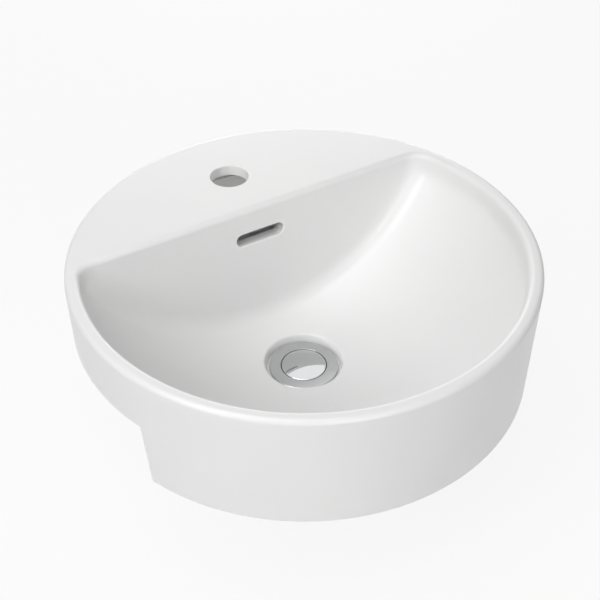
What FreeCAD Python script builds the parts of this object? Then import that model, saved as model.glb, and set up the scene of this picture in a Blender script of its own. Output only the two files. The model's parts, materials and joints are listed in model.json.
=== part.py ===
"""Round semi recessed wash basin with a push-to-open waste.

Frame: the Z axis is the axis of the round rim and of the waste, Z = 0 is the top of the counter that the
rear of the basin sits on, +Y points to the wall behind the basin, -Y to the person who uses it.
Lengths are millimetres. The plug is drawn closed and latched.
"""
import FreeCAD, Part
import math
import os

from FreeCAD import Vector

# ---- Driving dimensions of the china ----
RIM_RADIUS = 200.0            # rim 400 mm across
RIM_Z = 52.0                  # height of the rim above the counter
APRON_Z = -60.0               # lower edge of the front apron
OUTER_TAPER = 2.3 / 112.0     # the outside wall draws in this much per mm of drop
STEP_Y = -67.0                # face of the step that stops against the front edge of the counter
STEP_LEAN = 5.0 / 60.0        # the step face leans forward this much per mm of drop
WALL = 11.0                   # thickness of the cast walls
SEAT_WIDTH = 14.0             # ground band that rests on the counter
DECK_THICKNESS = 10.0
RIM_ROUND = 4.3               # outer edge of the rim
BOWL_ROUND = 5.5              # edge between the deck or rim and the bowl
FOOT_ROUND = 2.0              # lower edges of the apron and the step
RETURN_ROUND = 6.0            # cast corner between the step's return wall and the bowl's underside

# ---- Bowl: part of a sphere, with a steep rim wall and a straight rear wall ----
DISH_RADIUS = 214.0
DISH_DEPTH = 127.5            # bottom of the sphere below the rim
DISH_Z = RIM_Z - DISH_DEPTH + DISH_RADIUS
SIDE_RADIUS = 187.5           # rim wall of the bowl, measured at the rim
SIDE_DRAFT = math.tan(math.radians(4.0))
SIDE_BLEND = 25.0             # between the rim wall and the sphere
REAR_Y = 77.5                 # straight rear wall, measured at the rim
REAR_SLOPE = 0.07             # the rear wall comes forward this much per mm of drop
REAR_CORNER = 19.0            # rolling radius between the rear wall and the dish

# ---- Tap hole and overflow ----
TAP_Y = 132.8
TAP_RADIUS = 17.5
TAP_ROUND = 0.8
SLOT_Z = RIM_Z - 30.5         # middle of the slot
SLOT_LENGTH = 48.0
SLOT_HEIGHT = 12.0
SLOT_ROUND = 1.2
DUCT_GAP = 12.0               # clear depth of the overflow duct behind the bowl
DUCT_SKIN = 7.0               # thickness of the duct's outer skin
DUCT_WIDE = 24.0              # half width of the duct behind the slot
DUCT_NARROW = 12.0            # half width of the duct at the waste
DUCT_WIDE_Y = 88.0            # the duct has its full width behind this line

# ---- Waste recess and collar in the china ----
FLANGE_TOP = RIM_Z - 129.7
FLANGE_THICKNESS = 2.5
GASKET_THICKNESS = 1.0
RECESS_FLOOR = FLANGE_TOP - FLANGE_THICKNESS - GASKET_THICKNESS
RECESS_RADIUS = 33.5
RECESS_MOUTH = 36.0
RECESS_ROUND = 2.5
COLLAR_RADIUS = 33.0
COLLAR_Z = RIM_Z - 160.0      # lowest face of the china
WASTE_HOLE = 23.0

# ---- Waste: flange, threaded tube, seals and back nut ----
GASKET_RADIUS = 30.0
FLANGE_RADIUS = 31.5
FLANGE_ROUND = 0.6
THREAD_RADIUS = 20.95         # G 1 1/4 thread, over its crests
THREAD_FIT = 0.05
THREAD_CHAMFER = 1.0
NECK_RADIUS = 22.5            # short neck that fills the hole in the china
NECK_Z = -85.8
TUBE_BORE = 18.5
TAIL_Z = -152.0
GROOVE_TOP = -127.5           # run-out groove between the nut's thread and the trap's
GROOVE_BOTTOM = -129.0
GROOVE_DEPTH = 1.2
WINDOW_LENGTH = 24.0          # overflow windows in the tube
WINDOW_HEIGHT = 12.0
WINDOW_Z = -93.7
SEAL_HEIGHT = 6.0
SEAL_LIP = 4.0                # how far the tapered seal enters the hole
SEAL_TAPER = 0.7
SEAL_CHAMFER = 1.5
WASHER_THICKNESS = 2.0
CLAMP_RADIUS = 31.0           # outside of the seal, the washer and the nut's flange
NUT_HEIGHT = 9.0
NUT_FLANGE = 2.5
NUT_ACROSS = 50.0
NUT_CHAMFER = 2.0
CROSS_TOP = -126.0            # cross inside the tube that carries the latch
CROSS_BOTTOM = -132.0
CROSS_ARM = 3.0
CROSS_BOSS = 8.0
BARREL_SCREW = 5.0            # radius of the barrel's lower screw

# ---- Plug ----
LIFT = 9.0                    # travel of the plug, closed to open
PLUG_RADIUS = 20.5
PLUG_GAP = 0.6                # between the plug and the flange
PLUG_DROP = 0.1               # the plug's edge lies this much under the flange
PLUG_CROWN = 2.8              # rise of the plug's dome
PLUG_THICKNESS = 2.4
PLUG_ROUND = 0.5
PLUG_BOSS = 6.0
PLUG_BOSS_DEPTH = 4.0
SEAT_TOP = -82.2              # top of the cone that the plug's seal closes on
SEAL_RING = 2.5               # thickness of the plug's seal
SEAL_SHOULDER = 19.0          # outside of the seal where it meets the plug
SEAL_GAP = 0.3                # the rubber is drawn just clear of its seat
RETAINER = 1.6
RETAINER_RADIUS = 17.0
LOCK_NUT = 2.5
LOCK_NUT_ACROSS = 13.0
STUD_RADIUS = 2.5
STUD_END = 1.2                # upper end of the stud under the plate of the plug
STUD_TIP_GAP = 0.2            # between the stud and the bottom of its blind hole
STUD_LENGTH = 15.0

# ---- Latch ----
FIT = 0.06                    # running clearance of the sliding and turning pieces
BARREL_RADIUS = 7.5
BARREL_BORE = 5.6
BARREL_FLOOR = 2.0
BARREL_TOP = -90.2
BARREL_FLATS = 13.0
FLATS_HEIGHT = 5.0
KEYWAY_RADIUS = 6.5
KEYWAY_WIDTH = 2.2
BUSH_FLANGE = 2.6
BUSH_DEPTH = 4.0
BUSH_SLOT = 2.0
STEM_RADIUS = 4.0
STEM_TOP_GAP = 0.3            # between the plunger and the lock nut
STOP_GAP = 0.2                # left at the end of the travel
HEAD_HEIGHT = 4.8
SKIRT_HEIGHT = 3.0
CROWN_INNER = 3.0
TEETH = 8
TOOTH = 1.0
TOOTH_GAP = 0.2
ROTOR_HEIGHT = 5.0
ROTOR_RADIUS = 5.3
PIN_RADIUS = 2.4
PIN_LENGTH = 8.0
SPIGOT_RADIUS = 3.5
SPIGOT_HEIGHT = 1.2
SPRING_TURNS = 5
SPRING_WIRE = 0.8             # square section
SPRING_RADIUS = 4.3           # to the middle of the wire
SPRING_GAP = 0.1              # at each end of the spring
RING_WIRE = 0.65              # section radius of the plunger's O-ring
RING_GROOVE = 1.4

# ---- Working values ----
WIDE = 600.0                  # longer than anything here
OVER = 1.0                    # a cutter runs this far past the face it opens
NEAR = 0.05                   # how close a point lies to the surface it is looked for on
AXIS = Vector(0, 0, 1)


# ---------------------------------------------------------------- shared shapes
def polygon(points, sweep):
    """Prism over a closed outline."""
    corners = [Vector(*p) for p in points]
    return Part.Face(Part.makePolygon(corners + corners[:1])).extrude(Vector(*sweep))


def turned(profile):
    """Solid of revolution about Z from (radius, height) points."""
    corners = [Vector(r, 0, z) for r, z in profile]
    face = Part.Face(Part.makePolygon(corners + corners[:1]))
    return face.revolve(Vector(0, 0, 0), AXIS, 360)


def tube(outer, inner, low, high):
    return turned([(inner, low), (outer, low), (outer, high), (inner, high)])


def rod(radius, low, high):
    return Part.makeCylinder(radius, high - low, Vector(0, 0, low))


def hexagon(across, low, high):
    corner = across / math.sqrt(3.0)
    points = [(corner * math.cos(math.radians(60 * k)), corner * math.sin(math.radians(60 * k)), low)
              for k in range(6)]
    return polygon(points, (0, 0, high - low))


def slot_along_y(length, height, start, depth, z):
    """Slot with round ends, cut along +Y."""
    half = length / 2 - height / 2
    slot = Part.makeBox(2 * half, depth, height, Vector(-half, start, z - height / 2))
    for side in (-1, 1):
        end = Part.makeCylinder(height / 2, depth, Vector(side * half, start, z), Vector(0, 1, 0))
        slot = slot.fuse(end)
    return slot.removeSplitter()


def samples(edge, count=7):
    first, last = edge.ParameterRange
    return [edge.valueAt(first + (last - first) * k / (count - 1.0)) for k in range(count)]


def edges_where(shape, test):
    """Edges whose whole length passes a test on its points."""
    return [e for e in shape.Edges if e.Length > NEAR and all(test(p) for p in samples(e))]


def turned_by(shape, angles):
    """Copies of a shape turned about Z."""
    return [shape.rotated(Vector(0, 0, 0), AXIS, angle) for angle in angles]


def save(name, shape):
    solid = shape.removeSplitter()
    solid = solid.Solids[0] if len(solid.Solids) == 1 else solid
    print("%-16s solids %d valid %s volume %.0f" % (name, len(solid.Solids), solid.isValid(), solid.Volume))
    solid.exportStep("parts/%s.step" % name)


# ---------------------------------------------------------------- china
def outside_radius(z):
    return RIM_RADIUS - (RIM_Z - z) * OUTER_TAPER


def behind(line, low, high):
    """Everything with y beyond a line that leans with height."""
    points = [(-WIDE / 2, line(low), low), (-WIDE / 2, line(high), high),
              (-WIDE / 2, WIDE / 2, high), (-WIDE / 2, WIDE / 2, low)]
    return polygon(points, (WIDE, 0, 0))


def step_line(z):
    return STEP_Y + STEP_LEAN * z


def bowl_form(grow, top):
    """The inside of the bowl as a solid, grown all round for the underside of its wall.

    It is made well past the rim and the dish, and trimmed at its top once its blends are rolled.
    """
    low, high = 2 * APRON_Z, 2 * RIM_Z
    centre = Vector(0, 0, DISH_Z)
    reach = DISH_RADIUS + grow

    def side(z):
        return SIDE_RADIUS + grow + (z - RIM_Z) * SIDE_DRAFT

    def rear(z):
        return REAR_Y + grow + REAR_SLOPE * (z - RIM_Z)

    form = Part.makeSphere(reach, centre)
    form = form.common(Part.makeCone(side(low), side(high), high - low, Vector(0, 0, low)))
    form = form.cut(behind(rear, low, high))

    def on_rear(p):
        return abs(p.y - rear(p.z)) < NEAR

    def on_sphere_and_side(p):
        ring = math.hypot(p.x, p.y)
        return abs((p - centre).Length - reach) < NEAR and abs(ring - side(p.z)) < NEAR

    form = form.makeFillet(SIDE_BLEND + grow, edges_where(form, on_sphere_and_side))
    valley = [e for e in edges_where(form, on_rear) if abs(e.CenterOfMass.z - high) > NEAR]
    form = form.makeFillet(REAR_CORNER + grow, valley)
    return form.cut(rod(WIDE / 2, top, high + OVER))


def duct_plan(grow, low, high):
    """Plan of the overflow duct, wide behind the slot and narrow at the waste."""
    wide, narrow = DUCT_WIDE + grow, DUCT_NARROW + grow
    points = [(-narrow, 0, low), (narrow, 0, low), (wide, DUCT_WIDE_Y, low), (wide, RIM_RADIUS, low),
              (-wide, RIM_RADIUS, low), (-wide, DUCT_WIDE_Y, low)]
    return polygon(points, (0, 0, high - low))


def basin_body():
    """Slip-cast china: tapered outside, apron and step, bowl, deck, overflow duct and waste collar."""
    deck_z = RIM_Z - DECK_THICKNESS
    under_deck = deck_z + OVER
    low = APRON_Z - OVER
    tall = RIM_Z - APRON_Z

    # Outside with its rounded rim, and the rear cut away down to the counter.
    body = Part.makeCone(outside_radius(APRON_Z), RIM_RADIUS, tall, Vector(0, 0, APRON_Z))
    body = body.makeFillet(RIM_ROUND, edges_where(body, lambda p: p.z > RIM_Z - NEAR))
    body = body.cut(behind(step_line, low, 0.0))

    # Hollow inside the skirt, apron and deck, with the return walls of the step left standing.
    hollow = Part.makeCone(outside_radius(low) - WALL, outside_radius(deck_z) - WALL, deck_z - low,
                           Vector(0, 0, low))
    returns = behind(lambda z: step_line(z) - WALL, low, SEAT_WIDTH).cut(behind(step_line, low, SEAT_WIDTH))
    seat = tube(RIM_RADIUS, outside_radius(0.0) - SEAT_WIDTH, 0.0, SEAT_WIDTH)
    hollow = hollow.cut(returns).cut(seat.common(behind(step_line, 0.0, SEAT_WIDTH)))

    # Underside of the bowl, waste collar and duct, all one casting.
    under = bowl_form(WALL, under_deck)
    collar = rod(COLLAR_RADIUS, COLLAR_Z, FLANGE_TOP)
    duct_skin = bowl_form(WALL + DUCT_GAP + DUCT_SKIN, under_deck)
    duct_skin = duct_skin.common(duct_plan(DUCT_SKIN, COLLAR_Z, under_deck))
    inner = under.fuse([collar, duct_skin])
    body = body.cut(hollow).fuse(inner)

    # Bowl, recess and waste hole.
    body = body.cut(bowl_form(0.0, RIM_Z + WALL))
    lip_z = DISH_Z - math.sqrt(DISH_RADIUS ** 2 - RECESS_MOUTH ** 2)
    recess = turned([(0, RECESS_FLOOR), (RECESS_RADIUS, RECESS_FLOOR), (RECESS_MOUTH, lip_z),
                     (RECESS_MOUTH, 0), (0, 0)])
    body = body.cut(recess).cut(rod(WASTE_HOLE, COLLAR_Z - OVER, RECESS_FLOOR + OVER))

    # Overflow duct from behind the slot down into the waste hole.
    duct = bowl_form(WALL + DUCT_GAP, SLOT_Z + SLOT_HEIGHT).cut(bowl_form(WALL, deck_z))
    duct = duct.common(duct_plan(0.0, COLLAR_Z, SLOT_Z + SLOT_HEIGHT))
    body = body.cut(duct)

    # Overflow slot through the rear wall into the duct.
    body = body.cut(slot_along_y(SLOT_LENGTH, SLOT_HEIGHT, REAR_Y - REAR_CORNER,
                                 REAR_CORNER + WALL + DUCT_GAP / 2, SLOT_Z))

    # Tap hole.
    tap = Part.makeCylinder(TAP_RADIUS, DECK_THICKNESS + 2 * OVER, Vector(0, TAP_Y, deck_z - OVER))
    body = body.cut(tap).removeSplitter()

    # Rounded edges, the glaze softens every one.
    def on_rim(p):
        return abs(p.z - RIM_Z) < NEAR

    def at_tap(p):
        return abs(math.hypot(p.x, p.y - TAP_Y) - TAP_RADIUS) < NEAR

    def at_lip(p):
        return abs(p.z - lip_z) < NEAR and abs(math.hypot(p.x, p.y) - RECESS_MOUTH) < NEAR

    def inside_rim(p):
        return on_rim(p) and not at_tap(p) and math.hypot(p.x, p.y) < SIDE_RADIUS + NEAR

    def at_slot(p):
        rear = REAR_Y + REAR_SLOPE * (p.z - RIM_Z)
        beside = abs(p.x) < SLOT_LENGTH / 2 + NEAR and abs(p.z - SLOT_Z) < SLOT_HEIGHT / 2 + NEAR
        return beside and abs(p.y - rear) < NEAR

    def at_foot(p):
        outer = abs(math.hypot(p.x, p.y) - outside_radius(p.z)) < NEAR
        at_step = abs(p.y - step_line(p.z)) < NEAR
        at_base = abs(p.z - APRON_Z) < NEAR or (abs(p.z) < NEAR and p.y > STEP_Y - NEAR)
        return outer and (at_step or at_base)

    def at_return(p):
        under = abs((p - Vector(0, 0, DISH_Z)).Length - DISH_RADIUS - WALL)
        return under < NEAR and abs(p.y - step_line(p.z)) < NEAR

    body = body.makeFillet(BOWL_ROUND, edges_where(body, inside_rim))
    body = body.makeFillet(RECESS_ROUND, edges_where(body, at_lip))
    body = body.makeFillet(SLOT_ROUND, edges_where(body, at_slot))
    body = body.makeFillet(TAP_ROUND, edges_where(body, lambda p: on_rim(p) and at_tap(p)))
    body = body.makeFillet(FOOT_ROUND, edges_where(body, at_foot))
    return body.makeFillet(RETURN_ROUND, edges_where(body, at_return))


# ---------------------------------------------------------------- waste
FLANGE_UNDER = FLANGE_TOP - FLANGE_THICKNESS
MOUTH_RADIUS = PLUG_RADIUS + PLUG_GAP
SEAT_BOTTOM = SEAT_TOP - (MOUTH_RADIUS - TUBE_BORE)
WASHER_TOP = COLLAR_Z - SEAL_HEIGHT
NUT_TOP = WASHER_TOP - WASHER_THICKNESS
NUT_BORE = THREAD_RADIUS + THREAD_FIT


def flange_gasket():
    return tube(GASKET_RADIUS, WASTE_HOLE + THREAD_FIT, RECESS_FLOOR, FLANGE_UNDER)


def waste_body():
    """Flange, neck and threaded tube turned in one, with overflow windows and the cross for the latch."""
    groove = THREAD_RADIUS - GROOVE_DEPTH
    shell = turned([
        (TUBE_BORE, TAIL_Z), (THREAD_RADIUS - THREAD_CHAMFER, TAIL_Z),
        (THREAD_RADIUS, TAIL_Z + THREAD_CHAMFER), (THREAD_RADIUS, GROOVE_BOTTOM), (groove, GROOVE_BOTTOM),
        (groove, GROOVE_TOP), (THREAD_RADIUS, GROOVE_TOP), (THREAD_RADIUS, NECK_Z), (NECK_RADIUS, NECK_Z),
        (NECK_RADIUS, FLANGE_UNDER), (FLANGE_RADIUS, FLANGE_UNDER), (FLANGE_RADIUS, FLANGE_TOP),
        (MOUTH_RADIUS, FLANGE_TOP), (MOUTH_RADIUS, SEAT_TOP), (TUBE_BORE, SEAT_BOTTOM)])
    shell = shell.makeFillet(FLANGE_ROUND, edges_where(
        shell, lambda p: abs(p.z - FLANGE_TOP) < NEAR and math.hypot(p.x, p.y) > FLANGE_RADIUS - NEAR))
    shell = shell.cut(slot_along_y(WINDOW_LENGTH, WINDOW_HEIGHT, -NECK_RADIUS, 2 * NECK_RADIUS, WINDOW_Z))
    height = CROSS_TOP - CROSS_BOTTOM
    reach = TUBE_BORE + THREAD_CHAMFER
    arm = Part.makeBox(2 * reach, CROSS_ARM, height, Vector(-reach, -CROSS_ARM / 2, CROSS_BOTTOM))
    cross = rod(CROSS_BOSS, CROSS_BOTTOM, CROSS_TOP).fuse(turned_by(arm, (45, 135)))
    return shell.fuse(cross).cut(rod(BARREL_SCREW, CROSS_BOTTOM - OVER, CROSS_TOP + OVER))


def lower_seal():
    lip = WASTE_HOLE - THREAD_FIT
    return turned([
        (NUT_BORE, WASHER_TOP), (CLAMP_RADIUS, WASHER_TOP), (CLAMP_RADIUS, COLLAR_Z - SEAL_CHAMFER),
        (CLAMP_RADIUS - SEAL_CHAMFER, COLLAR_Z), (lip, COLLAR_Z), (lip - SEAL_TAPER, COLLAR_Z + SEAL_LIP),
        (NUT_BORE, COLLAR_Z + SEAL_LIP)])


def slip_washer():
    return tube(CLAMP_RADIUS, NUT_BORE, NUT_TOP, WASHER_TOP)


def back_nut():
    """Hexagon nut with a round flange that spreads its load on the washer."""
    bottom = NUT_TOP - NUT_HEIGHT
    corner = NUT_ACROSS / math.sqrt(3.0)
    nut = hexagon(NUT_ACROSS, bottom, NUT_TOP - NUT_FLANGE)
    nut = nut.common(turned([(0, bottom), (corner - NUT_CHAMFER, bottom), (corner, bottom + NUT_CHAMFER),
                             (corner, NUT_TOP), (0, NUT_TOP)]))
    nut = nut.fuse(rod(CLAMP_RADIUS, NUT_TOP - NUT_FLANGE, NUT_TOP))
    return nut.cut(rod(NUT_BORE, bottom - OVER, NUT_TOP + OVER))


# ---------------------------------------------------------------- plug
PLUG_EDGE_Z = FLANGE_TOP - PLUG_DROP
PLUG_UNDER = PLUG_EDGE_Z - PLUG_THICKNESS
PLUG_SEAL_UNDER = PLUG_UNDER - SEAL_RING
RETAINER_UNDER = PLUG_SEAL_UNDER - RETAINER
LOCK_NUT_UNDER = RETAINER_UNDER - LOCK_NUT
STUD_BORE = STUD_RADIUS + THREAD_FIT


def plug_cap():
    """Polished dome with a threaded boss under it."""
    crown = (PLUG_RADIUS ** 2 + PLUG_CROWN ** 2) / (2 * PLUG_CROWN)
    dome = Part.makeSphere(crown, Vector(0, 0, PLUG_EDGE_Z + PLUG_CROWN - crown))
    cap = rod(PLUG_RADIUS, PLUG_UNDER, PLUG_EDGE_Z + PLUG_CROWN + OVER).common(dome)
    cap = cap.makeFillet(PLUG_ROUND, edges_where(cap, lambda p: abs(p.z - PLUG_EDGE_Z) < NEAR))
    cap = cap.fuse(rod(PLUG_BOSS, PLUG_UNDER - PLUG_BOSS_DEPTH, PLUG_UNDER))
    hole_top = PLUG_UNDER - STUD_END + STUD_TIP_GAP
    return cap.cut(rod(STUD_BORE, PLUG_UNDER - PLUG_BOSS_DEPTH - OVER, hole_top))


def plug_seal():
    lip = MOUTH_RADIUS - (SEAT_TOP - PLUG_SEAL_UNDER) - SEAL_GAP
    return turned([(PLUG_BOSS + FIT, PLUG_SEAL_UNDER), (lip, PLUG_SEAL_UNDER), (lip, SEAT_TOP),
                   (SEAL_SHOULDER, PLUG_UNDER), (PLUG_BOSS + FIT, PLUG_UNDER)])


def seal_retainer():
    return turned([(PLUG_BOSS + FIT, RETAINER_UNDER), (RETAINER_RADIUS - RETAINER, RETAINER_UNDER),
                   (RETAINER_RADIUS, PLUG_SEAL_UNDER), (PLUG_BOSS + FIT, PLUG_SEAL_UNDER)])


def cap_lock_nut():
    nut = hexagon(LOCK_NUT_ACROSS, LOCK_NUT_UNDER, RETAINER_UNDER)
    return nut.cut(rod(STUD_BORE, LOCK_NUT_UNDER - OVER, RETAINER_UNDER + OVER))


def cap_stud():
    top = PLUG_UNDER - STUD_END
    return rod(STUD_RADIUS, top - STUD_LENGTH, top)


# ---------------------------------------------------------------- latch
BUSH_UNDER = BARREL_TOP - BUSH_DEPTH
HEAD_TOP = BUSH_UNDER - LIFT - STOP_GAP
SKIRT_TOP = HEAD_TOP - HEAD_HEIGHT
SKIRT_UNDER = SKIRT_TOP - SKIRT_HEIGHT
ROTOR_TOP = SKIRT_UNDER - TOOTH_GAP
ROTOR_UNDER = ROTOR_TOP - ROTOR_HEIGHT
SPRING_SEAT = CROSS_TOP + BARREL_FLOOR
RING_Z = BARREL_TOP + BUSH_FLANGE / 2


def tooth_gaps(z, rise):
    """V grooves across a crown of teeth, open towards the side that rise points away from."""
    half = math.pi * BARREL_BORE / TEETH
    groove = polygon([(0, -half, z), (0, half, z), (0, 0, z + rise)], (BARREL_BORE + OVER, 0, 0))
    return turned_by(groove, [360.0 * k / TEETH for k in range(TEETH)])


def plunger():
    """Sliding stem with keys in the barrel's keyways and push teeth on its lower end."""
    stem_top = LOCK_NUT_UNDER - STEM_TOP_GAP
    head = rod(BARREL_BORE - FIT, SKIRT_TOP, HEAD_TOP)
    reach = KEYWAY_RADIUS - FIT
    width = KEYWAY_WIDTH - 2 * FIT
    key = Part.makeBox(2 * reach, width, HEAD_HEIGHT, Vector(-reach, -width / 2, SKIRT_TOP))
    keys = key.fuse(turned_by(key, (90,))).common(rod(reach, SKIRT_TOP, HEAD_TOP))
    skirt = rod(BARREL_BORE - FIT, SKIRT_UNDER, SKIRT_TOP)
    body = rod(STEM_RADIUS, HEAD_TOP, stem_top).fuse([head, keys, skirt])
    body = body.cut(tooth_gaps(SKIRT_UNDER, TOOTH))
    stud_hole = rod(STUD_BORE, PLUG_UNDER - STUD_END - STUD_LENGTH - OVER, stem_top + OVER)
    pin_hole = rod(PIN_RADIUS + FIT, SKIRT_UNDER - OVER, ROTOR_TOP + PIN_LENGTH + OVER)
    crown_hole = rod(CROWN_INNER, SKIRT_UNDER - OVER, SKIRT_UNDER + TOOTH)
    return body.cut(stud_hole).cut(pin_hole).cut(crown_hole)


def latch_rotor():
    """Rotor with ratchet teeth on top, a guide pin in the plunger and a spigot in the spring."""
    ring = rod(ROTOR_RADIUS, ROTOR_UNDER, ROTOR_TOP).cut(tooth_gaps(ROTOR_TOP, -TOOTH))
    pin = rod(PIN_RADIUS, ROTOR_UNDER, ROTOR_TOP + PIN_LENGTH)
    spigot = rod(SPIGOT_RADIUS, ROTOR_UNDER - SPIGOT_HEIGHT, ROTOR_UNDER)
    return ring.fuse([pin, spigot])


def latch_barrel():
    """Tube with four keyways for the plunger, spanner flats and a screw for the cross."""
    body = rod(BARREL_RADIUS, CROSS_TOP, BARREL_TOP)
    reach = BARREL_RADIUS + OVER
    flats = Part.makeBox(BARREL_FLATS, 2 * reach, FLATS_HEIGHT, Vector(-BARREL_FLATS / 2, -reach, CROSS_TOP))
    body = body.common(flats.fuse(rod(BARREL_RADIUS, CROSS_TOP + FLATS_HEIGHT, BARREL_TOP)))
    body = body.cut(rod(BARREL_BORE, SPRING_SEAT, BARREL_TOP + OVER))
    keyway_low = SKIRT_TOP - 2 * STOP_GAP
    length = BARREL_TOP + OVER - keyway_low
    way = Part.makeBox(2 * KEYWAY_RADIUS, KEYWAY_WIDTH, length,
                       Vector(-KEYWAY_RADIUS, -KEYWAY_WIDTH / 2, keyway_low))
    ways = way.fuse(turned_by(way, (90,))).common(rod(KEYWAY_RADIUS, keyway_low, BARREL_TOP + OVER))
    return body.cut(ways).fuse(rod(BARREL_SCREW - THREAD_FIT, CROSS_BOTTOM, CROSS_TOP))


def barrel_bush():
    """Screwed bush that closes the barrel, with a groove for the O-ring and two spanner slots."""
    top = BARREL_TOP + BUSH_FLANGE
    bush = rod(BARREL_RADIUS, BARREL_TOP, top).fuse(rod(BARREL_BORE - THREAD_FIT, BUSH_UNDER, BARREL_TOP))
    bush = bush.cut(rod(STEM_RADIUS + FIT, BUSH_UNDER - OVER, top + OVER))
    groove = tube(STEM_RADIUS + FIT + 2 * RING_WIRE + THREAD_FIT, STEM_RADIUS,
                  RING_Z - RING_GROOVE / 2, RING_Z + RING_GROOVE / 2)
    slots = Part.makeBox(2 * BARREL_RADIUS, BUSH_SLOT, BUSH_FLANGE,
                         Vector(-BARREL_RADIUS, -BUSH_SLOT / 2, RING_Z + RING_GROOVE / 2 + THREAD_FIT))
    slots = slots.cut(rod(STEM_RADIUS + 2 * RING_WIRE, BARREL_TOP, top + OVER))
    return bush.cut(groove).cut(slots)


def plunger_ring():
    return Part.makeTorus(STEM_RADIUS + FIT + RING_WIRE, RING_WIRE, Vector(0, 0, RING_Z))


def plug_spring():
    """Compression spring of square wire, closed up by the latched plug."""
    low = SPRING_SEAT + SPRING_GAP
    rise = ROTOR_UNDER - SPRING_GAP - low - SPRING_WIRE
    path = Part.makeHelix(rise / SPRING_TURNS, rise, SPRING_RADIUS)
    path.translate(Vector(0, 0, low + SPRING_WIRE / 2))
    half = SPRING_WIRE / 2
    corners = [Vector(SPRING_RADIUS + x * half, 0, low + half + z * half)
               for x, z in ((-1, -1), (1, -1), (1, 1), (-1, 1), (-1, -1))]
    return Part.Wire(path).makePipeShell([Part.makePolygon(corners)], True, True)


os.makedirs("parts", exist_ok=True)
for make in (basin_body, flange_gasket, waste_body, lower_seal, slip_washer, back_nut, plug_cap, plug_seal,
             seal_retainer, cap_lock_nut, cap_stud, plunger, latch_rotor, latch_barrel, barrel_bush,
             plunger_ring, plug_spring):
    save(make.__name__, make())
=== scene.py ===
"""Round semi recessed wash basin with a push-to-open waste, dressed for its photograph."""

import json
import math

import bmesh
import bpy
import numpy as np
from mathutils import Matrix, Vector

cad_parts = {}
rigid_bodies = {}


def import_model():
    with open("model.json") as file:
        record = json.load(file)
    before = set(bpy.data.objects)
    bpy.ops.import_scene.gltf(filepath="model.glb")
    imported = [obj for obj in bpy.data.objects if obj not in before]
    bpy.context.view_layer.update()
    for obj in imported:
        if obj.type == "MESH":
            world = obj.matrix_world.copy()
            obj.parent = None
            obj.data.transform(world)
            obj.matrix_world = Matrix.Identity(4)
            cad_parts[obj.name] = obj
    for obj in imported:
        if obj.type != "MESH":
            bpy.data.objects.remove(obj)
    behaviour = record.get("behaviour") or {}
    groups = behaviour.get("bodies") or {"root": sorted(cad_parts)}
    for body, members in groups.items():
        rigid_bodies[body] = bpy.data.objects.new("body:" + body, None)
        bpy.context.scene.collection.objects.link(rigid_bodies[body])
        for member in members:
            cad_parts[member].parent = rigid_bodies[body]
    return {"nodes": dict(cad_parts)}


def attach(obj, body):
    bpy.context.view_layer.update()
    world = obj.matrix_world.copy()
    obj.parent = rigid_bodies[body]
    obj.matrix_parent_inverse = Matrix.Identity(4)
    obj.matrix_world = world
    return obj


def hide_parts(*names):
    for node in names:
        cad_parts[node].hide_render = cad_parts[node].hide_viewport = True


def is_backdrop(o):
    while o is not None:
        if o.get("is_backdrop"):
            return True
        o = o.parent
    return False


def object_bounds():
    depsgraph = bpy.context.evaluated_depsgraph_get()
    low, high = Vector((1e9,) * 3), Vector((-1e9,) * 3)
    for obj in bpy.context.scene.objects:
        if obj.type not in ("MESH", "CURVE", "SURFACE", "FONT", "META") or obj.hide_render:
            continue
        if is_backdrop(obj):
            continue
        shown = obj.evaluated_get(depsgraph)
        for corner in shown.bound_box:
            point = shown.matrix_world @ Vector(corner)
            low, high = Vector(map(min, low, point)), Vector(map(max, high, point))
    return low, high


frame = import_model()
for leftover in [o for o in bpy.data.objects if o.name in ("Cube", "Light", "Camera")]:
    bpy.data.objects.remove(leftover)
cad_low, cad_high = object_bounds()


# ---- Basin: outside --------------------------------------------------------------------------
# One slip-cast piece of white vitreous china: outside wall, deck, bowl, apron, overflow duct and waste
# collar are one casting. It stands on the counter on its ground rear band, with the bowl let into it.
RIM_RADIUS = 0.19994                 # the glaze stays a hair inside the frame
RIM_Z = 0.052
APRON_Z = -0.060
COLLAR_Z = -0.108
OUTER_TAPER = 2.3 / 112.0            # the outside draws in this much per metre of drop
WALL = 0.011
DECK_Z = RIM_Z - 0.010               # underside of the deck
RIM_ROUND = 0.0043
FOOT_ROUND = 0.0018
ROUND_STEPS = 10                     # faces over a rounded edge
STEP_Y = -0.067                      # face that stops against the counter's front edge
STEP_LEAN = 5.0 / 60.0
SEAT_WIDTH = 0.014
SPOKES = 480                         # faces round the rim
CUTTER_SPOKES = 240
OVER = 0.002                         # cutters run past what they open
FAR = 0.3                            # clear of the basin all round
MERGE = 1e-7


def outside_radius(z):
    """Radius of the tapered outside at a height."""
    return RIM_RADIUS - (RIM_Z - z) * OUTER_TAPER


def step_line(z):
    """Y of the step's leaning face at a height."""
    return STEP_Y + STEP_LEAN * z


def softened(points, rounds, steps):
    """A profile with arcs at some corners: rounds gives the radius at a corner's place in the list."""
    chain = []
    for k, point in enumerate(points):
        if k not in rounds:
            chain.append(point)
            continue
        corner = Vector(point)
        back = (Vector(points[k - 1]) - corner).normalized()
        ahead = (Vector(points[(k + 1) % len(points)]) - corner).normalized()
        half = back.angle(ahead) / 2
        centre = corner + (back + ahead).normalized() * rounds[k] / math.sin(half)
        reach = rounds[k] / math.tan(half)
        first, last = corner + back * reach - centre, corner + ahead * reach - centre
        turn = first.angle_signed(last) / steps
        chain += [tuple(centre + Matrix.Rotation(-turn * step, 2) @ first) for step in range(steps + 1)]
    return chain


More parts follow.
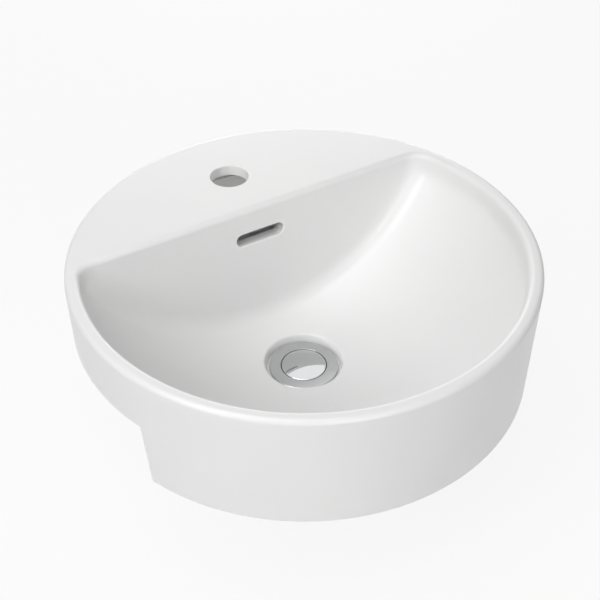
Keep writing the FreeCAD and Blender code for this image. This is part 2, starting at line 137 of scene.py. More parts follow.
def spun_band(profile, spokes, start=0.0):
    """Open band of quads turned about Z from a chain of (radius, height) points.

    Pieces that cut or join each other start at different angles, so that their edges never run together.
    """
    bm = bmesh.new()
    chain = [bm.verts.new((r * math.cos(start), r * math.sin(start), z)) for r, z in profile]
    edges = [bm.edges.new(pair) for pair in zip(chain, chain[1:])]
    bmesh.ops.spin(bm, geom=chain + edges, cent=(0, 0, 0), axis=(0, 0, 1), angle=2 * math.pi,
                   steps=spokes, use_merge=True, use_duplicate=False)
    bmesh.ops.remove_doubles(bm, verts=bm.verts, dist=MERGE)
    return bm


def piece_from(bm, name):
    """Turns a finished bmesh into a piece of the scene, with its faces outwards."""
    bmesh.ops.recalc_face_normals(bm, faces=bm.faces)
    mesh = bpy.data.meshes.new(name)
    bm.to_mesh(mesh)
    bm.free()
    piece = bpy.data.objects.new(name, mesh)
    bpy.context.scene.collection.objects.link(piece)
    return piece


def lathe(profile, spokes, name, start=0.0):
    """Closed turned piece, from a chain between two points on the axis or a loop clear of the axis."""
    loop = profile + profile[:1] if min(r for r, _ in profile) > 0 else profile
    return piece_from(spun_band(loop, spokes, start), name)


def block(corners, low, high, name, line=lambda z: 0.0):
    """Prism over a plan outline, whose y follows a leaning line from its lower to its upper end."""
    bm = bmesh.new()
    face = bm.faces.new([bm.verts.new((x, y + line(low), low)) for x, y in corners])
    top = bmesh.ops.extrude_face_region(bm, geom=[face])["geom"]
    for v in [g for g in top if isinstance(g, bmesh.types.BMVert)]:
        v.co.y += line(high) - line(low)
        v.co.z = high
    return piece_from(bm, name)


def across_step(near, far, low, high, name):
    """Block right across the basin, between two distances behind the step's leaning face."""
    return block([(-FAR, near), (FAR, near), (FAR, far), (-FAR, far)], low, high, name, step_line)


def combine(piece, other, operation):
    """Cuts, joins or keeps the common part of two closed pieces, and drops the second one."""
    step = piece.modifiers.new(operation, "BOOLEAN")
    step.operation = operation
    step.solver = "EXACT"
    step.object = other
    mesh = bpy.data.meshes.new_from_object(piece.evaluated_get(bpy.context.evaluated_depsgraph_get()))
    piece.modifiers.clear()
    piece.data = mesh
    bpy.data.objects.remove(other)
    return piece


outside = [(0.0, APRON_Z), (outside_radius(APRON_Z), APRON_Z), (RIM_RADIUS, RIM_Z), (0.0, RIM_Z)]
basin = lathe(softened(outside, {1: FOOT_ROUND, 2: RIM_ROUND}, ROUND_STEPS), SPOKES, "basin")

# The open space inside the wall and under the deck. The step's return walls and the band that rests on
# the counter stay standing in it.
low = APRON_Z - OVER
hollow = lathe([(0.0, low), (outside_radius(low) - WALL, low), (outside_radius(DECK_Z) - WALL, DECK_Z),
                (0.0, DECK_Z)], CUTTER_SPOKES, "hollow", start=0.0021)
returns = across_step(-WALL, OVER / 2, low - OVER, SEAT_WIDTH - OVER / 2, "returns")
hollow = combine(hollow, returns, "DIFFERENCE")
band = outside_radius(0.0) - SEAT_WIDTH
seat = lathe([(band, low - OVER), (RIM_RADIUS + OVER, low - OVER), (RIM_RADIUS + OVER, SEAT_WIDTH),
              (band, SEAT_WIDTH)], CUTTER_SPOKES, "seat", start=0.0034)
rear = across_step(-WALL / 2, FAR, low - 2 * OVER, SEAT_WIDTH + OVER, "rear")
hollow = combine(hollow, combine(seat, rear, "INTERSECT"), "DIFFERENCE")
basin = combine(basin, hollow, "DIFFERENCE")
counter = across_step(0.0, FAR, low, 0.0, "counter")
basin = combine(basin, counter, "DIFFERENCE")


# ---- Basin: bowl -----------------------------------------------------------------------------
# The bowl is a dished part of a sphere with a steep rim wall, cut short by a straight rear wall. Every
# corner inside is a wide rolled radius, and its edges are rounded by hand before the glaze goes on.
DISH_RADIUS = 0.214
DISH_Z = RIM_Z - 0.1275 + DISH_RADIUS
SIDE_RADIUS = 0.1875
SIDE_DRAFT = math.radians(4.0)
SIDE_BLEND = 0.025
REAR_Y = 0.0775
REAR_SLOPE = 0.07
REAR_CORNER = 0.019
BOWL_ROUND = 0.0055
RECESS_FLOOR = RIM_Z - 0.1332
RECESS_RADIUS = 0.0335
RECESS_MOUTH = 0.036
RECESS_ROUND = 0.0025
WASTE_HOLE = 0.023
COLLAR_RADIUS = 0.033
BOWL_RINGS = 96
EDGE_STEPS = 6                       # faces over a small rounded edge
CORE_ROUNDS = 12
HALVINGS = 28                        # of a ray, down to a nanometre or so
RAY_LENGTH = 0.4
TINY = 1e-9
SLIP = 5e-6                          # keeps a cutter's tangent edge off the face it opens


def into_dish(p):
    """Nearest points of sphere and rim wall, both drawn in by their blend, then let out to the corner."""
    centre = np.array([0.0, DISH_Z])
    ring = np.hypot(p[:, 0], p[:, 1])
    around = p[:, :2] / np.maximum(ring, TINY)[:, None]
    flat = np.stack([ring, p[:, 2]], 1)
    inner = DISH_RADIUS - SIDE_BLEND
    slope = np.array([math.cos(SIDE_DRAFT), -math.sin(SIDE_DRAFT)])
    reach = SIDE_RADIUS * slope[0] + RIM_Z * slope[1] - SIDE_BLEND

    # Nearest points of ball and wall alone, and the ring where the two meet.
    on_ball = flat - centre
    span = np.linalg.norm(on_ball, axis=1)
    on_ball = centre + on_ball * np.minimum(1.0, inner / np.maximum(span, TINY))[:, None]
    past = np.maximum(0.0, flat @ slope - reach)
    on_wall = flat - past[:, None] * slope
    foot = reach - centre @ slope
    meeting = centre + foot * slope + math.sqrt(inner ** 2 - foot ** 2) * np.array([slope[1], -slope[0]])
    ball_holds = on_ball @ slope <= reach + TINY
    wall_holds = np.linalg.norm(on_wall - centre, axis=1) <= inner + TINY
    core = np.where(ball_holds[:, None], on_ball, np.where(wall_holds[:, None], on_wall, meeting))

    # Let out to the corner's size, and back to three dimensions.
    out = flat - core
    gap = np.linalg.norm(out, axis=1)
    grow = np.minimum(1.0, (SIDE_BLEND - REAR_CORNER) / np.maximum(gap, TINY))
    core = core + out * grow[:, None]
    return np.concatenate([around * core[:, :1], core[:, 1:]], 1)


def into_front(p):
    """Nearest points in front of the rear wall, drawn in by the corner."""
    lean = np.array([0.0, 1.0, -REAR_SLOPE]) / math.hypot(1.0, REAR_SLOPE)
    reach = lean @ np.array([0.0, REAR_Y, RIM_Z]) - REAR_CORNER
    return p - np.maximum(0.0, p @ lean - reach)[:, None] * lean


def bowl_core(p):
    """Nearest points of the bowl's core. The bowl is everything within REAR_CORNER of it."""
    near, held_dish, held_front = p, 0.0 * p, 0.0 * p
    for _ in range(CORE_ROUNDS):
        dish = into_dish(near + held_dish)
        held_dish = near + held_dish - dish
        near = into_front(dish + held_front)
        held_front = dish + held_front - near
    return near


def to_bowl(directions, start, grow=0.0):
    """Points where rays from inside the bowl meet its surface, or the surface grown by so much."""
    near, far = np.zeros(len(directions)), np.full(len(directions), RAY_LENGTH)
    for _ in range(HALVINGS):
        half = (near + far) / 2
        p = start + directions * half[:, None]
        inside = np.linalg.norm(p - bowl_core(p), axis=1) < REAR_CORNER + grow
        near, far = np.where(inside, half, near), np.where(inside, far, half)
    return start + directions * near[:, None]


def positions(verts):
    """Places of verts, one row each."""
    return np.array([v.co for v in verts], float)


def place(verts, points):
    """Moves verts to new places."""
    for v, p in zip(verts, points):
        v.co = p


def bowl_rays(steepest, rings, spokes, start):
    """Part of a globe of rings round the rim's middle, ready to be let out to the bowl."""
    angles = [steepest * (1.0 - k / rings) for k in range(rings + 1)]
    return spun_band([(math.cos(a), math.sin(a)) for a in angles], spokes, start)


UNDER_RINGS = 64
NEAR_POLE = math.radians(-89.5)      # the globe stays open round its pole


def closed_bowl(grow, name):
    """The bowl's form grown by the given thickness, flat on top just above the underside of the deck."""
    bm = bowl_rays(NEAR_POLE, UNDER_RINGS, CUTTER_SPOKES, 0.0043 + grow / 10)
    verts = list(bm.verts)
    place(verts, to_bowl(positions(verts), np.array([0.0, 0.0, DECK_Z + OVER]), grow))
    bmesh.ops.holes_fill(bm, edges=bm.edges, sides=0)
    return piece_from(bm, name)


def grown_edge(bm, edges):
    """Extrudes a boundary and gives its new edges and verts."""
    grown = bmesh.ops.extrude_edge_only(bm, edges=edges)["geom"]
    fresh = [g for g in grown if isinstance(g, bmesh.types.BMVert)]
    return [g for g in grown if isinstance(g, bmesh.types.BMEdge) and g.is_boundary], fresh


def rolled_edge(bm, edges, base, levels):
    """Extrudes a boundary through levels of (way out, height), and gives the edges where it ends.

    For each vert of the boundary, base holds where it starts in plan and which way is out.
    """
    for out, height in levels:
        edges, fresh = grown_edge(bm, edges)
        ring = set(fresh)
        for v in fresh:
            parent = next(e.other_vert(v) for e in v.link_edges if e.other_vert(v) not in ring)
            base[v] = base[parent]
            start, outward = base[v]
            v.co = (*(start + outward * out), height)
    return edges


# The underside: the bowl's wall, the overflow duct's skin and the waste collar hang in the open space.
DUCT_GAP = 0.012
DUCT_SKIN = 0.007
DUCT_WIDE = 0.024
DUCT_NARROW = 0.012
DUCT_WIDE_Y = 0.088
COLLAR_SPOKES = 120


def duct_plan(grow, low, high, name):
    """Block over the duct's plan, which widens from the waste to the slot and is grown all round."""
    wide, narrow = DUCT_WIDE + grow, DUCT_NARROW + grow
    return block([(-narrow, 0.0), (narrow, 0.0), (wide, DUCT_WIDE_Y), (wide, RIM_RADIUS),
                  (-wide, RIM_RADIUS), (-wide, DUCT_WIDE_Y)], low, high, name)


under = closed_bowl(WALL, "under")
skin = combine(closed_bowl(WALL + DUCT_GAP + DUCT_SKIN, "skin"),
               duct_plan(DUCT_SKIN, COLLAR_Z + OVER, RIM_Z, "skin_plan"), "INTERSECT")
under = combine(under, skin, "UNION")
collar = lathe([(0.0, COLLAR_Z), (COLLAR_RADIUS, COLLAR_Z), (COLLAR_RADIUS, RECESS_FLOOR + OVER),
                (0.0, RECESS_FLOOR + OVER)], COLLAR_SPOKES, "collar", start=0.0029)
under = combine(under, collar, "UNION")
basin = combine(basin, under, "UNION")

# The inside: recess and waste hole, dish and walls, and the round that runs out into deck and rim.
lip_z = DISH_Z - math.sqrt(DISH_RADIUS ** 2 - RECESS_MOUTH ** 2)
dish_rise = RECESS_MOUTH / -(lip_z - DISH_Z)
lip = softened([(RECESS_RADIUS, RECESS_FLOOR), (RECESS_MOUTH, lip_z),
                (RECESS_MOUTH + WALL, lip_z + WALL * dish_rise)], {1: RECESS_ROUND}, EDGE_STEPS)[1:-1]
leaning = math.sin(SIDE_DRAFT)
round_start = np.array([0.0, 0.0, RIM_Z - BOWL_ROUND * (1 - leaning)])
bm = bowl_rays(math.atan2(lip[-1][1] - round_start[2], lip[-1][0]), BOWL_RINGS, SPOKES, 0.0057)
verts = list(bm.verts)
place(verts, to_bowl(positions(verts), round_start))

edges = [e for e in bm.edges if e.is_boundary and e.verts[0].co.xy.length < RECESS_MOUTH + WALL]
for radius, height in lip[-2::-1] + [(RECESS_RADIUS, RECESS_FLOOR), (WASTE_HOLE, RECESS_FLOOR),
                                     (WASTE_HOLE, COLLAR_Z - OVER)]:
    edges, fresh = grown_edge(bm, edges)
    for v in fresh:
        v.co = (*(v.co.xy.normalized() * radius), height)
bmesh.ops.contextual_create(bm, geom=edges)

edges = [e for e in bm.edges if e.is_boundary]
edge_verts = list({v for e in edges for v in e.verts})
at = positions(edge_verts)
normal = (at - bowl_core(at))[:, :2]
normal /= np.linalg.norm(normal, axis=1)[:, None]
base = {v: (v.co.xy, Vector(n)) for v, n in zip(edge_verts, normal)}
levels = []
for k in range(1, ROUND_STEPS + 1):
    turn = math.pi - SIDE_DRAFT - (math.pi / 2 - SIDE_DRAFT) * k / ROUND_STEPS
    levels.append((BOWL_ROUND * (math.cos(turn) + math.cos(SIDE_DRAFT)),
                   RIM_Z - BOWL_ROUND * (1 - math.sin(turn))))
edges = rolled_edge(bm, edges, base, levels + [(levels[-1][0], RIM_Z + OVER)])
bmesh.ops.contextual_create(bm, geom=edges)
bmesh.ops.translate(bm, verts=bm.verts, vec=(0, 0, SLIP))
basin = combine(basin, piece_from(bm, "bowl"), "DIFFERENCE")


# ---- Basin: overflow and tap hole ------------------------------------------------------------
# The slot in the rear wall opens into a flat duct cast behind the bowl, which runs down into the waste
# hole. The tap hole is punched in the deck while the clay is soft, and its edge sponged round.
SLOT_Z = RIM_Z - 0.0305
SLOT_LENGTH = 0.048
SLOT_HEIGHT = 0.012
SLOT_ROUND = 0.0012
SLOT_STEPS = 16                      # faces round each end
TAP_Y = 0.1328
TAP_RADIUS = 0.0175
TAP_ROUND = 0.0008
TAP_SPOKES = 96
PUNCH_DEPTH = 0.020
CHINA_CREASE = 40.0                  # degrees


def flared(outline, size, depth, name):
    """Cutter over a flat outline in the XY plane: straight below, opened by a quarter round at Z = 0."""
    bm = bmesh.new()
    face = bm.faces.new([bm.verts.new((x, y, -depth)) for x, y in outline])
    base = {}
    for k, v in enumerate(face.verts):
        run = (Vector(outline[(k + 1) % len(outline)]) - Vector(outline[k - 1])).normalized()
        base[v] = (v.co.xy, Vector((run.y, -run.x)))
    levels = [(size * (1 - math.cos(a)), -size * (1 - math.sin(a)))
              for a in [math.pi / 2 * k / EDGE_STEPS for k in range(EDGE_STEPS + 1)]]
    edges = rolled_edge(bm, face.edges[:], base, levels + [(size, depth)])
    bmesh.ops.contextual_create(bm, geom=edges)
    bmesh.ops.translate(bm, verts=bm.verts, vec=(0, 0, SLIP))
    return piece_from(bm, name)


def stadium(length, height, steps):
    """Outline of a slot with round ends, counter-clockwise."""
    half = length / 2 - height / 2
    ends = []
    for side, first in ((1, -math.pi / 2), (-1, math.pi / 2)):
        ends += [(side * half + height / 2 * math.cos(first + math.pi * k / steps),
                  height / 2 * math.sin(first + math.pi * k / steps)) for k in range(steps + 1)]
    return ends


duct = combine(closed_bowl(WALL + DUCT_GAP, "duct"), closed_bowl(WALL, "duct_front"), "DIFFERENCE")
duct = combine(duct, duct_plan(0.0, COLLAR_Z + OVER / 4, SLOT_Z + SLOT_HEIGHT, "duct_plan"), "INTERSECT")
basin = combine(basin, duct, "DIFFERENCE")

slot = flared(stadium(SLOT_LENGTH, SLOT_HEIGHT, SLOT_STEPS), SLOT_ROUND, PUNCH_DEPTH, "slot")
slot.data.transform(Matrix.Translation((0.0, REAR_Y + REAR_SLOPE * (SLOT_Z - RIM_Z), SLOT_Z))
                    @ Matrix.Rotation(math.pi / 2 - math.atan(REAR_SLOPE), 4, "X"))
basin = combine(basin, slot, "DIFFERENCE")
circle = [(TAP_RADIUS * math.cos(a), TAP_RADIUS * math.sin(a))
          for a in [2 * math.pi * k / TAP_SPOKES for k in range(TAP_SPOKES)]]
tap = flared(circle, TAP_ROUND, PUNCH_DEPTH, "tap")
tap.data.transform(Matrix.Translation((0.0, TAP_Y, RIM_Z)))
basin = combine(basin, tap, "DIFFERENCE")


def smooth(piece, angle):
    """Smooth shading with true creases, and flat faces that stay flat up to their rounded edges."""
    mesh = piece.data
    mesh.shade_smooth()
    mesh.set_sharp_from_angle(angle=math.radians(angle))
    weighted = piece.modifiers.new("weighted", "WEIGHTED_NORMAL")
    weighted.keep_sharp = True
    weighted.weight = 100            # the largest faces count most
    return piece


smooth(basin, CHINA_CREASE)


def new_finish(name):
    """A new material, with its nodes and its shader."""
    material = bpy.data.materials.new(name)
    material.use_nodes = True
    return material, material.node_tree, material.node_tree.nodes["Principled BSDF"]


def clouds(tree, size, low, high, stretch=(1.0, 1.0, 1.0)):
    """Soft patches about so many metres across, as a number that drifts between low and high."""
    place_in = tree.nodes.new("ShaderNodeTexCoord")
    spread = tree.nodes.new("ShaderNodeMapping")
    spread.inputs["Scale"].default_value = stretch
    noise = tree.nodes.new("ShaderNodeTexNoise")
    noise.inputs["Scale"].default_value = 1.0 / size
    noise.inputs["Detail"].default_value = 3.0
    level = tree.nodes.new("ShaderNodeMapRange")
    level.inputs["From Min"].default_value = 0.3
    level.inputs["From Max"].default_value = 0.7
    level.inputs["To Min"].default_value = low
    level.inputs["To Max"].default_value = high
    tree.links.new(place_in.outputs["Object"], spread.inputs["Vector"])
    tree.links.new(spread.outputs["Vector"], noise.inputs["Vector"])
    tree.links.new(noise.outputs["Fac"], level.inputs["Value"])
    return level.outputs["Result"]


def tinted(tree, shader, size, colour, other):
    """Base colour that drifts between two close colours."""
    blend = tree.nodes.new("ShaderNodeMix")
    blend.data_type = "RGBA"
    blend.inputs["A"].default_value = (*colour, 1.0)
    blend.inputs["B"].default_value = (*other, 1.0)
    tree.links.new(clouds(tree, size, 0.0, 1.0), blend.inputs["Factor"])
    tree.links.new(blend.outputs["Result"], shader.inputs["Base Color"])


def roughened(tree, shader, size, smoothest, roughest):
    """Roughness that drifts between two values."""
    tree.links.new(clouds(tree, size, smoothest, roughest), shader.inputs["Roughness"])


def uneven(tree, shader, size, height, stretch=(1.0, 1.0, 1.0)):
    """Bumps of the given size and height, in metres."""
    bump = tree.nodes.new("ShaderNodeBump")
    bump.inputs["Distance"].default_value = height
    tree.links.new(clouds(tree, size, 0.0, 1.0, stretch), bump.inputs["Height"])
    tree.links.new(bump.outputs["Normal"], shader.inputs["Normal"])


# White satin glaze, which lies in slow waves, and the bare clay where the seat and the feet are ground.
# The glaze's roughness stays above 0.28, where its highlights jump in the render.
GROUND_LEVELS = (0.0, APRON_Z, COLLAR_Z)
LEVEL_SLACK = 1e-5
FACING_DOWN = -0.99
glaze, tree, shader = new_finish("white_glaze")
tinted(tree, shader, size=0.12, colour=(0.845, 0.845, 0.845), other=(0.865, 0.865, 0.860))
roughened(tree, shader, size=0.05, smoothest=0.29, roughest=0.33)
uneven(tree, shader, size=0.030, height=0.00003)
clay, tree, shader = new_finish("bare_clay")
tinted(tree, shader, size=0.010, colour=(0.74, 0.71, 0.66), other=(0.66, 0.63, 0.58))
shader.inputs["Roughness"].default_value = 0.8
uneven(tree, shader, size=0.0006, height=0.00008)
for material in (glaze, clay):
    basin.data.materials.append(material)
for face in basin.data.polygons:
    ground = any(abs(face.center.z - level) < LEVEL_SLACK for level in GROUND_LEVELS)
    face.material_index = int(ground and face.normal.z < FACING_DOWN)

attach(basin, "basin")
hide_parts("basin_body")


# ---- Waste: gasket ---------------------------------------------------------------------------
# Thin black rubber ring, laid in the china's recess before the waste is dropped in. The waste's flange
# presses it flat.
rubber, tree, shader = new_finish("black_rubber")
tinted(tree, shader, size=0.004, colour=(0.022, 0.022, 0.022), other=(0.034, 0.034, 0.034))
roughened(tree, shader, size=0.006, smoothest=0.50, roughest=0.68)
uneven(tree, shader, size=0.0007, height=0.00004)


def dress(node, material):
    """Gives a piece that keeps its own shape its finish."""
    mesh = frame["nodes"][node].data
    mesh.materials.clear()
    mesh.materials.append(material)


dress("flange_gasket", rubber)


# ---- Waste: flange and threaded tube ---------------------------------------------------------
# Brass, finely turned and chrome plated: a thin flange on a tube with a pipe thread for the back nut and
# the trap, two overflow windows, and a cross that holds the latch.
FLANGE_TOP = RIM_Z - 0.1297
FLANGE_UNDER = FLANGE_TOP - 0.0025
FLANGE_RADIUS = 0.0315
FLANGE_ROUND = 0.0006
MOUTH_RADIUS = 0.0211
MOUTH_ROUND = 0.0003
SEAT_TOP = -0.0822
TUBE_BORE = 0.0185
SEAT_BOTTOM = SEAT_TOP - (MOUTH_RADIUS - TUBE_BORE)
NECK_RADIUS = 0.0225
NECK_Z = -0.0858
TAIL_Z = -0.152
THREAD_RADIUS = 0.02095              # over the crests
THREAD_DEPTH = 0.00148
PITCH = 0.002309
THREAD_RINGS = 6                     # in one pitch
THREAD_CHAMFER = 0.001
GROOVE_TOP = -0.1275                 # run-out between the nut's thread and the trap's
GROOVE_BOTTOM = -0.129
GROOVE_DEPTH = 0.0012
WINDOW_LENGTH = 0.024
WINDOW_HEIGHT = 0.012
WINDOW_Z = -0.0937
WINDOW_STEPS = 12                    # faces round each end
CROSS_TOP = -0.126
CROSS_BOTTOM = -0.132
CROSS_ARM = 0.003
CROSS_REACH = 0.019
CROSS_TURNS = (45, 135)              # degrees, where the two arms lie
CROSS_BOSS = 0.008
BOSS_SPOKES = 48
BARREL_SCREW = 0.005
SCREW_SPOKES = 40
WASTE_SPOKES = 144
METAL_CREASE = 30.0                  # degrees
CREST_SLACK = 1e-6


def climb(low, high):
    """Rings close enough to show a thread."""
    steps = round((high - low) / (PITCH / THREAD_RINGS))
    return [(THREAD_RADIUS, low + (high - low) * k / steps) for k in range(steps + 1)]


threads = ((TAIL_Z + THREAD_CHAMFER, GROOVE_BOTTOM), (GROOVE_TOP, NECK_Z))
groove = THREAD_RADIUS - GROOVE_DEPTH
above = softened([(NECK_RADIUS, NECK_Z), (NECK_RADIUS, FLANGE_UNDER), (FLANGE_RADIUS, FLANGE_UNDER),
                  (FLANGE_RADIUS, FLANGE_TOP), (MOUTH_RADIUS, FLANGE_TOP), (MOUTH_RADIUS, SEAT_TOP),
                  (TUBE_BORE, SEAT_BOTTOM)], {3: FLANGE_ROUND, 4: MOUTH_ROUND}, EDGE_STEPS)
profile = ([(TUBE_BORE, TAIL_Z), (THREAD_RADIUS - THREAD_CHAMFER, TAIL_Z)] + climb(*threads[0])
           + [(groove, GROOVE_BOTTOM), (groove, GROOVE_TOP)] + climb(*threads[1]) + above)
bm = spun_band(profile + profile[:1], WASTE_SPOKES)

# The thread is cut by drawing the rings between its crests in along a helix, which fades out at each end.
for v in bm.verts:
    for low, high in threads:
        if low < v.co.z < high and abs(v.co.xy.length - THREAD_RADIUS) < CREST_SLACK:
            phase = v.co.z / PITCH * 2 * math.pi - math.atan2(v.co.y, v.co.x)
            fade = min(1.0, (v.co.z - low) / PITCH, (high - v.co.z) / PITCH)
            v.co.xy *= 1.0 - THREAD_DEPTH * fade * (0.5 - 0.5 * math.cos(phase)) / THREAD_RADIUS
waste = piece_from(bm, "waste")
windows = block(stadium(WINDOW_LENGTH, WINDOW_HEIGHT, WINDOW_STEPS), -2 * NECK_RADIUS, 2 * NECK_RADIUS,
                "windows")
windows.data.transform(Matrix.Translation((0.0, 0.0, WINDOW_Z)) @ Matrix.Rotation(math.pi / 2, 4, "X"))
waste = combine(waste, windows, "DIFFERENCE")
cross = lathe([(0.0, CROSS_BOTTOM), (CROSS_BOSS, CROSS_BOTTOM), (CROSS_BOSS, CROSS_TOP), (0.0, CROSS_TOP)],
              BOSS_SPOKES, "cross")
for angle in CROSS_TURNS:
    half = CROSS_ARM / 2
    arm = block([(-CROSS_REACH, -half), (CROSS_REACH, -half), (CROSS_REACH, half), (-CROSS_REACH, half)],
                CROSS_BOTTOM + OVER / 8, CROSS_TOP - OVER / 8, "arm")
    arm.data.transform(Matrix.Rotation(math.radians(angle), 4, "Z"))
    cross = combine(cross, arm, "UNION")
screw = lathe([(0.0, CROSS_BOTTOM - OVER), (BARREL_SCREW, CROSS_BOTTOM - OVER),
               (BARREL_SCREW, CROSS_TOP + OVER), (0.0, CROSS_TOP + OVER)], SCREW_SPOKES, "screw", start=0.01)
cross = combine(cross, screw, "DIFFERENCE")
waste = smooth(combine(waste, cross, "UNION"), METAL_CREASE)


def chrome_plate(name, smoothest, roughest):
    """Bluish bright plating, as smooth as the metal under it was made."""
    material, tree, shader = new_finish(name)
    tinted(tree, shader, size=0.010, colour=(0.545, 0.550, 0.555), other=(0.560, 0.565, 0.570))
    shader.inputs["Metallic"].default_value = 1.0
    roughened(tree, shader, 0.008, smoothest, roughest)
    return material


waste.data.materials.append(chrome_plate("turned_chrome", smoothest=0.15, roughest=0.21))
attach(waste, "basin")
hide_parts("waste_body")


# ---- Waste: seal, washer and back nut --------------------------------------------------------
# Pushed up the thread from below: a tapered rubber seal, a nylon washer that lets the nut slide on it,
# and a brass hexagon nut that clamps the waste to the china.
dress("lower_seal", rubber)

nylon, tree, shader = new_finish("natural_nylon")
tinted(tree, shader, size=0.006, colour=(0.80, 0.80, 0.75), other=(0.76, 0.76, 0.71))
roughened(tree, shader, size=0.005, smoothest=0.38, roughest=0.52)
shader.inputs["Subsurface Weight"].default_value = 0.1
shader.inputs["Subsurface Scale"].default_value = 0.002
dress("slip_washer", nylon)

brass, tree, shader = new_finish("turned_brass")
tinted(tree, shader, size=0.007, colour=(0.70, 0.53, 0.24), other=(0.63, 0.46, 0.20))
shader.inputs["Metallic"].default_value = 1.0
roughened(tree, shader, size=0.004, smoothest=0.22, roughest=0.38)
uneven(tree, shader, size=0.0008, height=0.00001, stretch=(0.05, 0.05, 1.0))
dress("back_nut", brass)


# ---- Latch: barrel and spring ----------------------------------------------------------------
# A turned brass tube, screwed into the waste's cross. The coiled steel spring stands on its floor and
# lifts the rotor, the plunger and the plug.
dress("latch_barrel", brass)
steel, tree, shader = new_finish("spring_steel")
tinted(tree, shader, size=0.003, colour=(0.60, 0.60, 0.60), other=(0.52, 0.52, 0.53))
shader.inputs["Metallic"].default_value = 1.0
roughened(tree, shader, size=0.002, smoothest=0.22, roughest=0.34)
dress("plug_spring", steel)


# ---- Latch: rotor and plunger ----------------------------------------------------------------
# The nylon rotor stands on the spring. The brass plunger's teeth turn it one step at each push, and it
# hangs on the barrel's keys in the low position or lets the plug rise in the high one.
dress("latch_rotor", nylon)
dress("plunger", brass)


# ---- Latch: bush and ring --------------------------------------------------------------------
# The screwed brass bush closes the barrel and guides the plunger. A small rubber ring in its groove
# keeps dirt out.
dress("barrel_bush", brass)
dress("plunger_ring", rubber)


# ---- Plug: stud, lock nut, retainer and seal -------------------------------------------------
# A steel stud joins the cap to the plunger and sets its height, held by a thin brass nut. The rubber
# seal sits round the cap's boss, on a nylon retainer.
dress("cap_stud", steel)
dress("cap_lock_nut", brass)
dress("seal_retainer", nylon)
dress("plug_seal", rubber)


# ---- Plug: cap -------------------------------------------------------------------------------
# Solid turned brass with a mirror chrome plate: a shallow dome, flush in the flange when it is shut, with
# a drilled boss underneath.
PLUG_RADIUS = 0.0205
PLUG_EDGE_Z = FLANGE_TOP - 0.0001
PLUG_CROWN = 0.0028
PLUG_UNDER = PLUG_EDGE_Z - 0.0024
PLUG_ROUND = 0.0008
PLUG_UNDER_ROUND = 0.0002
PLUG_BOSS = 0.006
PLUG_BOSS_DEPTH = 0.004
STUD_BORE = 0.00255
STUD_HOLE_TOP = PLUG_UNDER - 0.001
DOME_STEPS = 16
dome_radius = (PLUG_RADIUS ** 2 + PLUG_CROWN ** 2) / (2 * PLUG_CROWN)
dome = [PLUG_RADIUS * k / DOME_STEPS for k in range(DOME_STEPS + 1)]
dome = [(r, PLUG_EDGE_Z + PLUG_CROWN - dome_radius + math.sqrt(dome_radius ** 2 - r * r)) for r in dome]
boss_end = PLUG_UNDER - PLUG_BOSS_DEPTH
outline = dome + [(PLUG_RADIUS, PLUG_UNDER), (PLUG_BOSS, PLUG_UNDER), (PLUG_BOSS, boss_end),
                  (STUD_BORE, boss_end), (STUD_BORE, STUD_HOLE_TOP), (0.0, STUD_HOLE_TOP)]
rounds = {DOME_STEPS: PLUG_ROUND, DOME_STEPS + 1: PLUG_UNDER_ROUND}
cap = smooth(lathe(softened(outline, rounds, EDGE_STEPS), WASTE_SPOKES, "plug_top"), METAL_CREASE)
cap.data.materials.append(chrome_plate("polished_chrome", smoothest=0.04, roughest=0.07))
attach(cap, "plug")
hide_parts("plug_cap")


# ---- Floor -----------------------------------------------------------------------------------
# Plain pale studio floor at the foot of the waste. The camera and mirrors see it near white, with the
# object's shadow faint on it.
FLOOR_DROP = 0.001
FLOOR_SIZE = 6.0
PALE = 0.99
GLOW_SHARE = 0.9                     # the rest shows the shadow
bm = bmesh.new()
bmesh.ops.create_grid(bm, x_segments=1, y_segments=1, size=FLOOR_SIZE)
bmesh.ops.translate(bm, verts=bm.verts, vec=(0, 0, cad_low[2] - FLOOR_DROP))
floor = piece_from(bm, "floor")
pale, tree, shader = new_finish("pale_floor")
shader.inputs["Base Color"].default_value = (0.80, 0.80, 0.80, 1.0)
shader.inputs["Roughness"].default_value = 1.0
glow = tree.nodes.new("ShaderNodeEmission")
glow.inputs["Color"].default_value = (PALE, PALE, PALE, 1.0)


def seen(tree):
    """One where a camera ray, a mirror ray or a ray through glass arrives."""
    path = tree.nodes.new("ShaderNodeLightPath")
    total = path.outputs["Is Camera Ray"]
    for ray in ("Is Glossy Ray", "Is Transmission Ray"):
        either = tree.nodes.new("ShaderNodeMath")
        either.operation = "MAXIMUM"
        tree.links.new(total, either.inputs[0])
        tree.links.new(path.outputs[ray], either.inputs[1])
        total = either.outputs["Value"]
    return total


share = tree.nodes.new("ShaderNodeMath")
share.operation = "MULTIPLY"
share.inputs[1].default_value = GLOW_SHARE
tree.links.new(seen(tree), share.inputs[0])
both = tree.nodes.new("ShaderNodeMixShader")
tree.links.new(share.outputs["Value"], both.inputs["Fac"])
tree.links.new(shader.outputs["BSDF"], both.inputs[1])
tree.links.new(glow.outputs["Emission"], both.inputs[2])
tree.links.new(both.outputs["Shader"], tree.nodes["Material Output"].inputs["Surface"])
floor.data.materials.append(pale)
floor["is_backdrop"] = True


# ---- Light -----------------------------------------------------------------------------------
# A large soft box overhead, the key on the user's left, and dimmer ones in front and behind. A wide, very
# dim one hangs high behind, where the plug mirrors it evenly. The room gives little light, though camera
# and mirrors see it near white.
AIM = Vector((0.0002, 0.0071, -0.0064))     # where lamps and camera point
ROOM = 0.02
LAMP_DISTANCE = 1.8
world = bpy.data.worlds.new("room")
world.use_nodes = True
bpy.context.scene.world = world
tree = world.node_tree
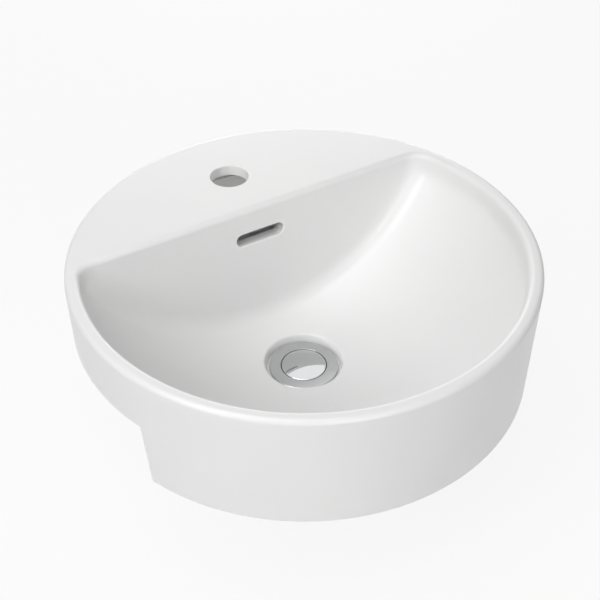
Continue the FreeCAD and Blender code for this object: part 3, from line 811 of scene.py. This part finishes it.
level = tree.nodes.new("ShaderNodeMix")
level.data_type = "FLOAT"
level.inputs["A"].default_value = ROOM
level.inputs["B"].default_value = PALE
tree.links.new(seen(tree), level.inputs["Factor"])
tree.links.new(level.outputs["Result"], tree.nodes["Background"].inputs["Strength"])
tree.nodes["Background"].inputs["Color"].default_value = (1.0, 1.0, 1.0, 1.0)


def soft_box(name, azimuth, elevation, size, power):
    """Square area lamp aimed at the basin. Azimuth 0 stands behind the user and grows to the right."""
    lamp = bpy.data.lights.new(name, "AREA")
    lamp.size = size
    lamp.energy = power
    box = bpy.data.objects.new(name, lamp)
    a, e = math.radians(azimuth), math.radians(elevation)
    away = Vector((math.sin(a) * math.cos(e), -math.cos(a) * math.cos(e), math.sin(e)))
    box.location = AIM + away * LAMP_DISTANCE
    box.rotation_euler = away.to_track_quat("Z", "Y").to_euler()
    bpy.context.scene.collection.objects.link(box)


soft_box("top_box", azimuth=-70, elevation=74, size=1.3, power=13.7)
soft_box("key_box", azimuth=-75, elevation=35, size=0.8, power=11.3)
soft_box("front_box", azimuth=-8, elevation=18, size=0.9, power=9.8)
soft_box("back_box", azimuth=150, elevation=14, size=1.1, power=10.0)
soft_box("back_top_box", azimuth=165, elevation=60, size=2.4, power=6.8)


# ---- Camera ----------------------------------------------------------------------------------
# Long lens, looking down from the front left, as the photograph does. Heading, tilt and lens bring the
# rim, the apron and the tap hole to where the photograph has them.
HEADING = math.radians(31.0)
TILT = math.radians(39.63)
DISTANCE = 1.0
SENSOR = 36.0
LENS = 68.38
camera = bpy.data.objects.new("camera", bpy.data.cameras.new("camera"))
camera.data.sensor_width = SENSOR
camera.data.lens = LENS
forward = Vector((math.sin(HEADING) * math.cos(TILT), math.cos(HEADING) * math.cos(TILT), -math.sin(TILT)))
camera.location = AIM - forward * DISTANCE
camera.rotation_euler = forward.to_track_quat("-Z", "Y").to_euler()
bpy.context.scene.collection.objects.link(camera)
bpy.context.scene.camera = camera
bpy.context.scene.view_settings.view_transform = "Standard"

low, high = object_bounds()
